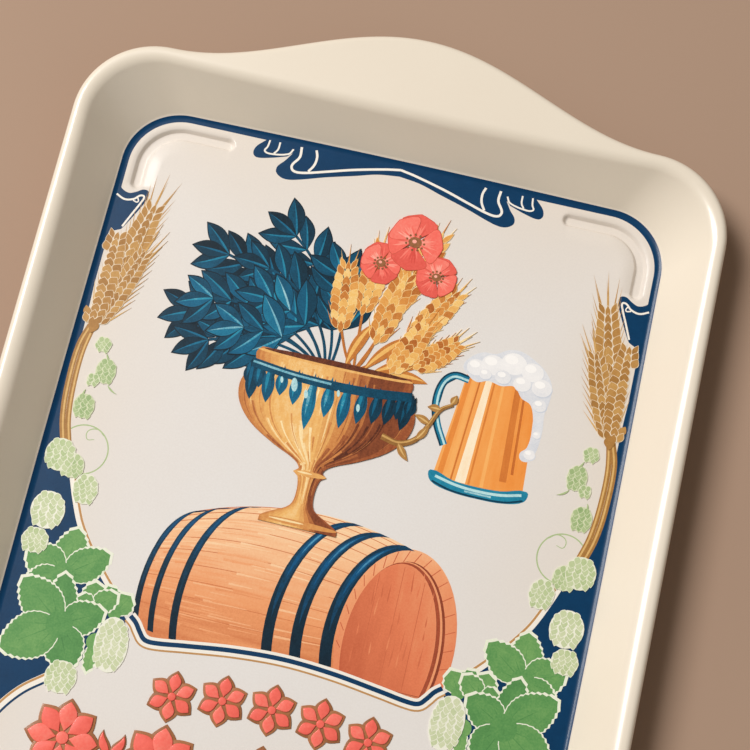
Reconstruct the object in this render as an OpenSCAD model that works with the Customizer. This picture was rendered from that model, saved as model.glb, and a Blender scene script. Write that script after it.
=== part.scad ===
// Serving tray: a pressed sheet pan with a rolled rim and two handle flanges,
// decorated with thin ink layers on its floor.
// Frame: X across, Y along the length, Z up. The origin is under the middle of
// the tray, on the surface that it stands on.

/* [Tray] */
// Width over the rolled rim
tray_w = 300; // [290:1:320]
// Length over the rolled rim, without the handles
tray_l = 380; // [370:1:410]
// Height of the rim above the surface that the tray stands on
tray_h = 24; // [21:0.5:30]
// Corner radius of the rim, seen from above
rim_corner_r = 37; // [34:0.5:42]
// Thickness of the pressed sheet
sheet = 0.5; // [0.4:0.05:0.8]

/* [Rolled rim] */
// Outer radius of the roll
roll_r = 3; // [2.4:0.1:3.4]
// Angle that the sheet is turned through, from level at the top of the roll
roll_wrap = 245; // [180:5:260]

/* [Handles] */
// How far each handle reaches past the rim
handle_reach = 30; // [20:1:34]

/* [Floor] */
// Width between the outer edges of the border line
floor_w = 254; // [240:1:256]
// Length between the outer edges of the border line
floor_l = 335; // [325:1:337]
// Corner radius of the border line
floor_corner_r = 28; // [26:0.5:32]
// Inside radius of the bend between floor and wall
bend_r = 5; // [3:0.5:6]
// Outside radius of the bend between wall and rim
lip_r = 8; // [3:0.5:9]
// Width of the border line that lies up the bend
line_lap = 3; // [2:0.5:3]

/* [Foot grooves] */
// Depth that the grooves are pressed below the floor
foot_drop = 2; // [1.2:0.1:3]
// Distance from the flat floor's edge to the groove's outer lip
foot_inset = 4; // [3:0.2:6]
// Width of the groove at its lips
foot_w = 6.6; // [6:0.2:8]
// Width of the slope on each side of the groove
foot_slope = 1.8; // [1:0.1:2.4]
// Length of the groove's arm across the tray, past the corner
foot_arm_x = 22; // [10:1:30]
// Length of the groove's arm along the tray, past the corner
foot_arm_y = 13; // [10:1:30]
// Length over which a groove's end rises to the floor
foot_ramp = 4; // [3:0.5:6]

/* [Print] */
// Thickness of one ink layer
ink = 0.05; // [0.02:0.01:0.1]
// Height of the embossed ornament
emboss = 1; // [0.5:0.1:1.5]

/* [Hidden] */

floor_z = foot_drop + sheet;
roll_z = tray_h - roll_r;
lip_z = tray_h - lip_r;
// Half sizes of the flat floor inside the bend
flat_x = floor_w / 2 - line_lap;
flat_y = floor_l / 2 - line_lap;
flat_r = floor_corner_r - line_lap;
// Half sizes of the line along the top of the roll
edge_x = tray_w / 2 - roll_r;
edge_y = tray_l / 2 - roll_r;
edge_r = rim_corner_r - roll_r;
// The narrowest strip of level flange inside the roll
level_strip = 0.2;
handle_half = edge_x - edge_r;
// y of the border line's outer edge at the +Y end
top = floor_l / 2;

corner_steps = 9;
end_steps = 20;
side_steps = 6;
wrap_steps = 10;

// ---- Stations round the tray, anticlockwise from +X ----

// Distances from a corner at which a straight side has a station
function stops(length, arm, steps) = concat(
    [arm - foot_ramp, arm],
    [for (i = [1 : steps - 1]) arm + (length - 2 * arm) * i / steps],
    [length - arm, length - arm + foot_ramp]);

end_length = 2 * (flat_x - flat_r);
side_length = 2 * (flat_y - flat_r);
end_stops = stops(end_length, foot_arm_x, end_steps);
side_stops = stops(side_length, foot_arm_y, side_steps);

function turned(p, quarter) =
    quarter == 0 ? p : quarter == 1 ? [-p[1], p[0]] : quarter == 2 ? -p : [p[1], -p[0]];

// One rounded corner and the straight side after it, for quarter turn q
function corner_and_side(half, r, q) =
    let (long = q % 2 == 0,
        hw = long ? half[0] : half[1],
        hl = long ? half[1] : half[0],
        length = long ? end_length : side_length,
        marks = long ? end_stops : side_stops)
    concat(
        [for (i = [0 : corner_steps])
            turned([hw - r + r * cos(90 * i / corner_steps),
                    hl - r + r * sin(90 * i / corner_steps)], q)],
        [for (d = marks) turned([(hw - r) * (1 - 2 * d / length), hl], q)]);

// A rounded rectangle with the same stations whatever its size
function outline(half, r) = [for (q = [0 : 3]) each corner_and_side(half, r, q)];

// 1 at a station where the foot groove is at full depth, 0 where there is none
function groove_share(length, arm, marks) =
    [for (d = marks) min(d, length - d) <= arm - foot_ramp ? 1 : 0];
groove = [for (q = [0 : 3]) each concat(
    [for (i = [0 : corner_steps]) 1],
    q % 2 == 0 ? groove_share(end_length, foot_arm_x, end_stops)
        : groove_share(side_length, foot_arm_y, side_stops))];

// The handle's outline: one smooth wave across the end of the tray
function hump(x) = abs(x) < handle_half ? handle_reach * (1 + cos(180 * x / handle_half)) / 2 : 0;

flat_line = outline([flat_x, flat_y], flat_r);
crease_line = outline([edge_x - level_strip, edge_y - level_strip], edge_r - level_strip);
edge_line = [for (p = outline([edge_x, edge_y], edge_r))
    abs(p[1]) > edge_y - 0.001 ? [p[0], p[1] + sign(p[1]) * hump(p[0])] : p];
n_stations = len(flat_line);

// ---- Section of the wall at station i ----

function unit(v) = v / norm(v);
function reach(i) = norm(crease_line[i] - flat_line[i]);
function out_of(i) = unit(crease_line[i] - flat_line[i]);
// Slope of the straight wall that is tangent to both bends
function wall_slope(i) = let (rise = lip_z - floor_z - bend_r)
    atan2(rise, reach(i)) + asin((bend_r + lip_r) / norm([rise, reach(i)]));

function at(p, z) = [p[0], p[1], z];
function lower_bend(share, lift) = [for (i = [0 : n_stations - 1])
    let (a = share * wall_slope(i), r = bend_r + lift)
    at(flat_line[i] + out_of(i) * r * sin(a), floor_z + bend_r - r * cos(a))];
function upper_bend(share, lift) = [for (i = [0 : n_stations - 1])
    let (a = share * wall_slope(i), r = lip_r - lift)
    at(crease_line[i] - out_of(i) * r * sin(a), lip_z + r * cos(a))];
function floor_ring(inset, lift, drop) =
    let (line = outline([flat_x - inset, flat_y - inset], flat_r - inset))
    [for (i = [0 : n_stations - 1]) at(line[i], floor_z - lift - drop * groove[i])];

// All the rings of one face of the sheet, from the floor to the rim's edge
function face_rings(lift) = [
    floor_ring(foot_inset + foot_w + 4, lift, 0),
    floor_ring(foot_inset + foot_w, lift, 0),
    floor_ring(foot_inset + foot_w - foot_slope, lift, foot_drop),
    floor_ring(foot_inset + foot_slope, lift, foot_drop),
    floor_ring(foot_inset, lift, 0),
    lower_bend(0, lift), lower_bend(0.35, lift), lower_bend(0.7, lift), lower_bend(1, lift),
    upper_bend(1, lift), upper_bend(0.65, lift), upper_bend(0.3, lift), upper_bend(0, lift),
    [for (p = edge_line) at(p, tray_h - lift)]];

function reversed(list) = [for (i = [len(list) - 1 : -1 : 0]) list[i]];

// A solid between rings of points. When capped, a flat fan of triangles round
// the Z axis closes the first and the last ring.
module ring_solid(rings, capped) {
    n = len(rings[0]);
    count = len(rings);
    last = capped ? count - 2 : count - 1;
    walls = [for (k = [0 : last], i = [0 : n - 1])
        let (j = (i + 1) % n, m = (k + 1) % count)
        each [[k * n + i, k * n + j, m * n + j], [k * n + i, m * n + j, m * n + i]]];
    fans = [for (i = [0 : n - 1])
        let (j = (i + 1) % n, end = (count - 1) * n)
        each [[count * n, j, i], [count * n + 1, end + i, end + j]]];
    middles = [[0, 0, rings[0][0][2]], [0, 0, rings[count - 1][0][2]]];
    polyhedron(concat([for (ring = rings) each ring], middles),
        capped ? concat(walls, fans) : walls, 4);
}

module tray_pan() {
    color("wheat")
        ring_solid(concat(face_rings(0), reversed(face_rings(sheet))), true);
}

// ---- Rolled rim ----

function edge_out(i) =
    let (t = edge_line[(i + 1) % n_stations] - edge_line[(i + n_stations - 1) % n_stations])
    unit([t[1], -t[0]]);
function roll_ring(r, turn) = [for (i = [0 : n_stations - 1])
    at(edge_line[i] + edge_out(i) * r * sin(turn), roll_z + r * cos(turn))];

module rolled_rim() {
    turns = [for (k = [0 : wrap_steps]) roll_wrap * k / wrap_steps];
    color("ivory")
        ring_solid(concat(
            [for (a = turns) roll_ring(roll_r, a)],
            [for (a = reversed(turns)) roll_ring(roll_r - sheet, a)]), false);
}

// ---- Ink layers ----

// A flat layer of ink; level counts the layers printed under it
module printed(level) {
    translate([0, 0, floor_z + level * ink]) linear_extrude(ink) children();
}

module both_sides() {
    children();
    mirror([1, 0]) children();
}

module rounded(half, r) {
    x = half[0] - r;
    y = half[1] - r;
    square([2 * half[0], 2 * y], center = true);
    square([2 * x, 2 * half[1]], center = true);
    for (sx = [-x, x], sy = [-y, y]) translate([sx, sy]) circle(r, $fn = 64);
}

module inset_floor(inset) {
    rounded([flat_x - inset, flat_y - inset], flat_r - inset);
}

// The four L-shaped windows over the foot grooves
module groove_windows() {
    x0 = flat_x - flat_r - foot_arm_x;
    y0 = flat_y - flat_r - foot_arm_y;
    intersection() {
        difference() {
            inset_floor(foot_inset);
            inset_floor(foot_inset + foot_w);
        }
        for (sx = [-1, 1], sy = [-1, 1])
            translate([sx * (x0 + flat_x) / 2, sy * (y0 + flat_y) / 2])
                square([flat_x - x0, flat_y - y0], center = true);
    }
}

module print_ground() {
    color("linen") printed(0) difference() {
        inset_floor(0.1);
        groove_windows();
    }
}

// Half of the navy fields that widen down each side
side_field = [[-flat_x, top - 40], [-121, top - 60], [-121.5, top - 150], [-116, top - 164],
    [-100, top - 198], [-84, top - 217], [-72, top - 230], [-84, top - 262], [-98, top - 266],
    [-110, top - 282], [-117, top - 300], [-flat_x, top - 305]];

module navy_border() {
    color("midnightblue") printed(1) {
        difference() {
            inset_floor(0.1);
            inset_floor(1.2);
        }
        intersection() {
            inset_floor(0.6);
            both_sides() polygon(side_field);
        }
    }
}

// Whiplash ribbon at the end of the floor, drawn with its straight edge up
ribbon_half = [[0, -4], [-8, -6], [-30, -12], [-48, -19], [-56, -19], [-57, -14], [-52, -9],
    [-58, -7], [-62, -12], [-68, -12], [-69, -8], [-62, -3], [0, -3]];

module ribbon() {
    both_sides() polygon(ribbon_half);
}

module ribbon_top() {
    color("midnightblue") printed(2) translate([0, top]) ribbon();
}

module ribbon_bottom() {
    color("midnightblue") printed(2) mirror([0, 1]) translate([0, top]) ribbon();
}

hook_half = [[-flat_x + 0.5, -46], [-120, -44], [-115, -41], [-110, -40], [-109, -44],
    [-114, -54], [-119, -62], [-flat_x + 0.5, -64]];

module corner_hooks() {
    color("navy") printed(2) translate([0, top]) both_sides() polygon(hook_half);
}

// A spindle from the origin upwards
module spindle(length, width) {
    steps = 12;
    function half_w(t) = width / 2 * sin(180 * pow(t, 0.8));
    polygon(concat(
        [for (i = [0 : steps]) [half_w(i / steps), length * i / steps]],
        [for (i = [steps - 1 : -1 : 1]) [-half_w(i / steps), length * i / steps]]));
}

// Wheat of the left side: two overlapping ears and their stalk
module wheat_side() {
    translate([-117, top - 112]) {
        rotate(5) spindle(62, 13);
        rotate(-9) spindle(74, 14);
    }
    polygon([for (p = [[-117, -110], [-120, -125], [-120.5, -140], [-119, -152], [-115.5, -164],
        [-117.5, -165], [-121, -153], [-122.5, -140], [-122, -125], [-119, -110]])
        [p[0], top + p[1]]]);
}

module wheat_left() {
    color("peru") printed(3) wheat_side();
}

module wheat_right() {
    color("peru") printed(3) mirror([1, 0]) wheat_side();
}

function ellipse(a, b) = [for (i = [0 : 23]) [a * cos(15 * i), b * sin(15 * i)]];

// Hop cones of the left side: centre and half sizes, measured from the border line
cones = [[-113, -115, 3, 3.5], [-108, -127, 5.5, 7], [-112, -145, 5, 6], [-116.5, -169, 7, 9],
    [-101.5, -179, 5, 7], [-116, -193, 7.5, 9.5], [-75, -243, 8, 12], [-91, -262, 7, 8]];

module cone_side() {
    for (c = cones) translate([c[0], top + c[1]]) polygon(ellipse(c[2], c[3]));
}

module hop_cones_left() {
    color("darkseagreen") printed(5) cone_side();
}

module hop_cones_right() {
    color("darkseagreen") printed(5) mirror([1, 0]) cone_side();
}

// Five-lobed leaf with its tip up
module leaf(size) {
    polygon([for (a = [0 : 10 : 350])
        size * (0.72 + 0.2 * sin(5 * a) + 0.08 * sin(a)) * [cos(a), sin(a)]]);
}

// Hop leaves of the left side: centre, size and turn
leaves = [[-107, -208, 15, 20], [-89, -208, 11, -25], [-84, -223, 9, -60], [-107, -228, 14, 70],
    [-110, -247, 15, 110], [-92, -242, 12, 200]];

module leaf_side() {
    for (l = leaves) translate([l[0], top + l[1]]) rotate(l[3]) leaf(l[2]);
}

module hop_leaves_left() {
    color("mediumseagreen") printed(4) leaf_side();
}

module hop_leaves_right() {
    color("mediumseagreen") printed(4) mirror([1, 0]) leaf_side();
}

module tendrils() {
    color("darkseagreen") printed(2) both_sides() translate([-107, top - 163]) difference() {
        circle(11.3, $fn = 48);
        circle(10.7, $fn = 48);
    }
}

// Curved line that closes the picture below the barrel
scroll_arc_r = 330;
module scroll_line() {
    color("navy") printed(4) translate([0, top - 231 - scroll_arc_r]) intersection() {
        difference() {
            circle(scroll_arc_r, $fn = 180);
            circle(scroll_arc_r - 3.5, $fn = 180);
        }
        translate([0, scroll_arc_r]) square([132, 30], center = true);
    }
}

// ---- Barrel ----

barrel_line = [[-69, -214], [-66, -199], [-60, -189], [-52, -182], [-36, -175], [-18, -170.5],
    [0, -168.5], [15, -168], [32, -170], [48, -175], [60, -184], [67, -196], [70, -212],
    [69, -224], [64, -231.5], [32, -231.5], [0, -230.5], [-32, -231.5], [-67, -231.5]];

module barrel_staves() {
    color("sandybrown") printed(1) translate([0, top]) polygon(barrel_line);
}

module barrel_head() {
    color("salmon") printed(2) translate([46, top - 211]) intersection() {
        polygon(ellipse(22, 31));
        translate([-30, -19.5]) square([60, 60]);
    }
}

// A hoop seen from the side: half of a narrow ellipse ring
module hoop(x, half_w, rise) {
    translate([x, top - 229]) intersection() {
        difference() {
            polygon(ellipse(half_w, rise));
            translate([4, 0]) polygon(ellipse(half_w, rise + 1));
        }
        translate([-half_w - 1, 0]) square([half_w + 4, rise + 1]);
    }
}

hoops = [[-52, 15, 46], [-41, 14, 52], [-31, 13, 55], [6, 17, 60], [19, 18, 60], [31, 18, 57]];

module barrel_hoops() {
    color("darkslategray") printed(3) for (h = hoops) hoop(h[0], h[1], h[2]);
}

// ---- Footed vase with its bouquet, on the barrel ----

vase_line = [[-48, -102], [-52, -113], [-46, -130], [-32, -144], [-14, -149], [-12, -158],
    [-13, -167], [-22, -172], [-22, -175], [6, -175], [6, -172], [-3, -167], [-4, -158],
    [-2, -149], [14, -143], [26, -130], [32, -113], [28, -102]];
vase_mouth = [-10, top - 102];

module vase() {
    color("chocolate") printed(2) translate([0, top]) polygon(vase_line);
}

module vase_glaze() {
    color("steelblue") printed(3) translate([-6, top - 118]) polygon(ellipse(20, 13));
}

module vase_leaves() {
    color("teal") printed(3) translate(vase_mouth)
        for (l = [[22, 66, 18], [38, 82, 20], [52, 90, 20], [66, 86, 18], [82, 76, 16]])
            rotate(l[0]) spindle(l[1], l[2]);
}

module vase_ears() {
    color("goldenrod") printed(4) translate(vase_mouth)
        for (e = [[8, 46, 14], [-6, 56, 15], [-20, 62, 15], [-36, 60, 14], [-52, 50, 13]])
            rotate(e[0]) spindle(e[1], e[2]);
}

module poppies() {
    color("tomato") printed(5) for (p = [[14, -37, 13], [1, -49, 9], [26, -53, 9]])
        translate([p[0], top + p[1]]) circle(p[2], $fn = 32);
}

twig_line = [[18, -134], [30, -132], [38, -124], [42, -112], [46, -108], [44, -106],
    [39, -110], [35, -121], [28, -129], [18, -131]];

module twig() {
    color("saddlebrown") printed(4) translate([0, top]) polygon(twig_line);
}

// ---- Mug ----

module mug_beer() {
    color("orange") printed(1) translate([0, top])
        polygon([[50.5, -93], [80, -93], [85, -141], [46, -141]]);
}

module mug_glass() {
    color("cadetblue") printed(2) {
        translate([65.5, top - 141.5]) polygon(ellipse(20.5, 3.5));
        translate([50, top - 112]) difference() {
            polygon(ellipse(12, 18));
            polygon(ellipse(8.5, 14.5));
            translate([0, -20]) square([20, 40]);
        }
    }
}

module mug_foam() {
    color("whitesmoke") printed(3)
        for (b = [[55, -88, 7], [64, -84, 7.5], [74, -86, 8.5], [82, -93, 6.5], [84, -104, 4.5],
            [83, -119, 4]])
            translate([b[0], top + b[1]]) circle(b[2], $fn = 32);
}

// ---- Embossed ornament in the lower field ----

module rosette(size, petals) {
    circle(size * 0.3, $fn = 32);
    for (i = [0 : petals - 1]) rotate(360 * i / petals)
        translate([size * 0.62, 0]) circle(size * 0.3, $fn = 32);
}

// Spacing of the flowers in the upper and the lower row
upper_pitch = 21.5;
lower_pitch = 42;

module raised_ornament() {
    color("tomato") translate([0, top, floor_z + ink]) linear_extrude(emboss) {
        for (i = [-2 : 2]) translate([i * upper_pitch, -255 - i * i]) rosette(10.5, 6);
        for (i = [-2 : 2]) translate([i * lower_pitch, i * i - 290])
            rosette(19 - 1.5 * abs(i), 8);
    }
}

tray_pan();
rolled_rim();
print_ground();
navy_border();
ribbon_top();
ribbon_bottom();
corner_hooks();
wheat_left();
wheat_right();
hop_cones_left();
hop_cones_right();
hop_leaves_left();
hop_leaves_right();
tendrils();
scroll_line();
barrel_staves();
barrel_head();
barrel_hoops();
vase();
vase_glaze();
vase_leaves();
vase_ears();
poppies();
twig();
mug_beer();
mug_glass();
mug_foam();
raised_ornament();
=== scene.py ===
"""Looks of the printed serving tray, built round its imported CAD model.

Lengths in this file are in millimetres and become metres where a mesh is made.
The printed picture is drawn in its own x and y: x is 0 on the tray's middle
line, and y is 0 at the top edge of the border line and negative below it.
"""
import random
from math import asin, atan2, copysign, cos, degrees, hypot, pi, radians, sin, sqrt

import bmesh
import bpy
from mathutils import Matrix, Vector


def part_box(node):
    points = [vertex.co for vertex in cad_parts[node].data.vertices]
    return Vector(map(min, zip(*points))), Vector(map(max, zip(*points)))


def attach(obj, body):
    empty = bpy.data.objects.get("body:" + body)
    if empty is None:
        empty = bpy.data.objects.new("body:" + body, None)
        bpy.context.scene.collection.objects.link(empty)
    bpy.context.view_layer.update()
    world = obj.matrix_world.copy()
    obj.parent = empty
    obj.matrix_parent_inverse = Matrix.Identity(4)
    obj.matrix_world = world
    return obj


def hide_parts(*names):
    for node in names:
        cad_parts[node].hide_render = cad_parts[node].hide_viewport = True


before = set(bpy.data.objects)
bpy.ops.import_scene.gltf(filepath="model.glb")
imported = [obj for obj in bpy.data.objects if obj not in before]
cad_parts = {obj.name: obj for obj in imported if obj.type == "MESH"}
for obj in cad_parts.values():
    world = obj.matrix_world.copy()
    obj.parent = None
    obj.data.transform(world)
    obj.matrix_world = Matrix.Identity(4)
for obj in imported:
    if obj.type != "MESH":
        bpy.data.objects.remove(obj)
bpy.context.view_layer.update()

MM = 0.001

# ---- Sizes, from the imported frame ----

ground_low, ground_high = (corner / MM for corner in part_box("print_ground"))
pan_low, pan_high = (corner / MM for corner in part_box("tray_pan"))
rim_low, rim_high = (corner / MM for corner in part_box("rolled_rim"))

SHEET = 0.5
FLOOR_Z = ground_low.z
FOOT_DROP = FLOOR_Z - SHEET
RIM_TOP = pan_high.z
ROLL_R = (rim_high.z - rim_low.z) / 2
ROLL_Z = RIM_TOP - ROLL_R
ROLL_WRAP = radians(245)
HANDLE_REACH = 30
LEVEL_STRIP = 0.2
BEND_R = 5
LIP_R = 8
LIP_Z = RIM_TOP - LIP_R
LINE_LAP = 3

# Half sizes of the flat floor, and of the line along the top of the roll
FLAT = (ground_high.x + 0.1, ground_high.y + 0.1)
FLAT_R = 25
EDGE = (pan_high.x, pan_high.y - HANDLE_REACH)
EDGE_R = 34
# y of the picture's origin
TOP = FLAT[1] + LINE_LAP

FOOT_INSET = 4
FOOT_W = 6.6
FOOT_BOTTOM = 0.42
FOOT_ARM = (22, 13)

# Height of the off-white base coat, and of one layer of ink over another
COAT = 0.04
LAYER = 0.002


# ---- Picking and finishing meshes ----

def only(piece):
    """Selects one object and makes it active."""
    bpy.ops.object.select_all(action="DESELECT")
    piece.select_set(True)
    bpy.context.view_layer.objects.active = piece


def edit_all(piece):
    only(piece)
    bpy.ops.object.mode_set(mode="EDIT")
    bpy.ops.mesh.select_all(action="SELECT")


def leave_edit():
    bpy.ops.object.mode_set(mode="OBJECT")


def apply_modifier(piece, kind, **settings):
    only(piece)
    modifier = piece.modifiers.new(kind.lower(), kind)
    for key, value in settings.items():
        setattr(modifier, key, value)
    bpy.ops.object.modifier_apply(modifier=modifier.name)


def joined(pieces, name):
    """One object from several, each keeping its own finish."""
    only(pieces[0])
    for piece in pieces[1:]:
        piece.select_set(True)
    if len(pieces) > 1:
        bpy.ops.object.join()
    piece = pieces[0]
    piece.name = name
    return piece


def hand_in(piece, node, slot):
    """The piece rides with the tray and stands for its CAD node."""
    piece.name = node + "_finish"
    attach(piece, "root")
    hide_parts(node)
    return piece


# ---- Shader maths ----

class Wire:
    """A value on its way between shader nodes; sums on it add Math nodes."""

    def __init__(self, tree, socket):
        self.tree = tree
        self.socket = socket

    def math(self, operation, *values, clamp=False):
        node = self.tree.nodes.new("ShaderNodeMath")
        node.operation = operation
        node.use_clamp = clamp
        for slot, value in zip(node.inputs, values):
            plug(self.tree, slot, value)
        return Wire(self.tree, node.outputs[0])

    def __add__(self, other):
        return self.math("ADD", self, other)

    def __sub__(self, other):
        return self.math("SUBTRACT", self, other)

    def __rsub__(self, other):
        return self.math("SUBTRACT", other, self)

    def __mul__(self, other):
        return self.math("MULTIPLY", self, other)

    def __truediv__(self, other):
        return self.math("DIVIDE", self, other)

    def __pow__(self, other):
        return self.math("POWER", self, other)

    def __abs__(self):
        return self.math("ABSOLUTE", self)

    __radd__ = __add__
    __rmul__ = __mul__

    def larger(self, other):
        return self.math("MAXIMUM", self, other)

    def held(self):
        """The value held between 0 and 1."""
        return self.math("ADD", self, 0.0, clamp=True)


def plug(tree, slot, value):
    if isinstance(value, Wire):
        tree.links.new(value.socket, slot)
    else:
        slot.default_value = value


class Finish:
    """A material: a Principled shader and the nodes that feed it."""

    def __init__(self, name, **constants):
        self.material = bpy.data.materials.new(name)
        self.material.use_nodes = True
        self.tree = self.material.node_tree
        self.shader = self.tree.nodes["Principled BSDF"]
        for key, value in constants.items():
            self.shader.inputs[key.replace("_", " ")].default_value = value
        self.place = self.node("ShaderNodeTexCoord", output=3)

    def node(self, kind, settings=(), output=0, **sockets):
        """Any node: its settings first, then its sockets, by name or as s and a number."""
        node = self.tree.nodes.new(kind)
        for key, value in dict(settings).items():
            if key == "stops":
                set_stops(node.color_ramp, value)
            else:
                setattr(node, key, value)
        for key, value in sockets.items():
            plug(self.tree, node.inputs[int(key[1:]) if key[1:].isdigit() else key], value)
        return Wire(self.tree, node.outputs[output])

    def along(self, axis):
        """Object coordinate on one axis, in millimetres."""
        return self.node("ShaderNodeSeparateXYZ", output="XYZ".index(axis), s0=self.place) / MM

    def noise(self, size, detail=2.0, stretch=(1.0, 1.0, 1.0)):
        """Soft noise from 0 to 1 whose lumps are about size millimetres."""
        place = self.node("ShaderNodeMapping", s0=self.place, s3=stretch)
        return self.node("ShaderNodeTexNoise", Vector=place, Scale=1 / (size * MM), Detail=detail)

    def mix(self, share, first, second):
        return self.node("ShaderNodeMix", {"data_type": "RGBA"}, output=2, s0=share, s6=first, s7=second)

    def ramp(self, value, stops):
        return self.node("ShaderNodeValToRGB", {"stops": stops}, s0=value)

    def tone(self):
        """The tone that each printed shape carries."""
        return self.node("ShaderNodeAttribute", {"attribute_name": "tone"}, output=2)

    def colour(self, value):
        plug(self.tree, self.shader.inputs["Base Color"], value)

    def rough(self, value):
        plug(self.tree, self.shader.inputs["Roughness"], value)

    def bump(self, height, depth):
        """Raises the surface by height times depth millimetres."""
        normal = self.node("ShaderNodeBump", Strength=1.0, Distance=depth * MM, Height=height)
        plug(self.tree, self.shader.inputs["Normal"], normal)


def set_stops(ramp, stops):
    """Gives a ramp its stops, each a position and three screen levels."""
    while len(ramp.elements) < len(stops):
        ramp.elements.new(0.5)
    for element, (position, *levels) in zip(ramp.elements, stops):
        element.position = position
        element.color = rgb(*levels)


def rgb(red, green, blue):
    """A colour given by its screen levels, 0 to 255, made linear."""
    def linear(level):
        level /= 255
        return level / 12.92 if level <= 0.04045 else ((level + 0.055) / 1.055) ** 2.4
    return (linear(red), linear(green), linear(blue), 1.0)


# ---- Finishes ----

VARNISH = {"Coat_Weight": 0.18, "Coat_Roughness": 0.1, "Specular_IOR_Level": 0.2}


def enamel():
    """Glossy cream enamel with a faint orange peel and slightly uneven colour."""
    finish = Finish("cream_enamel", Coat_Weight=0.45, Coat_Roughness=0.15)
    uneven = finish.noise(90, 3.0) * 0.8 + finish.noise(2.2, 3.0) * 0.2
    finish.colour(finish.mix(uneven.held(), rgb(232, 220, 202), rgb(239, 229, 212)))
    finish.rough(0.26 + 0.1 * finish.noise(30, 4.0))
    finish.bump(finish.noise(3.5, 1.0), 0.012)
    return finish


# Height of a print's grain, in millimetres
PRINT_GRAIN = 0.006


def base_white():
    """Off-white base coat, warmer towards the border, with a fine printed grain."""
    finish = Finish("ground_ink", **VARNISH)
    across = abs(finish.along("X")) / FLAT[0]
    along = abs(finish.along("Y")) / FLAT[1]
    edge = (across ** 3.0).larger(along ** 3.0)
    cloud = finish.noise(55, 3.0)
    grain = finish.noise(0.9, 2.0)
    body = finish.mix((edge * 0.75 + cloud * 0.35).held(), rgb(231, 229, 228), rgb(226, 215, 202))
    finish.colour(finish.mix((grain * 0.5 - 0.1).held(), body, rgb(214, 207, 201)))
    finish.rough(0.3 + 0.1 * grain)
    finish.bump(finish.noise(4.0, 1.0), 0.008)
    return finish


def ink(name, stops, blot=5.0, spread=0.1, grain=0.7, grain_share=0.1, stretch=(1.0, 1.0, 1.0)):
    """Printed ink. A shape's tone picks the colour, and blots and a fine grain shift it."""
    finish = Finish(name, **VARNISH)
    blots = finish.noise(blot, 3.0, stretch) - 0.5
    dots = finish.noise(grain, 1.0) - 0.5
    value = finish.tone() + blots * (2 * spread) + dots * (2 * grain_share)
    finish.colour(finish.ramp(value.held(), stops))
    finish.rough(0.34 + 0.12 * dots)
    finish.bump(finish.noise(3.0, 1.0), PRINT_GRAIN)
    return finish


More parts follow.
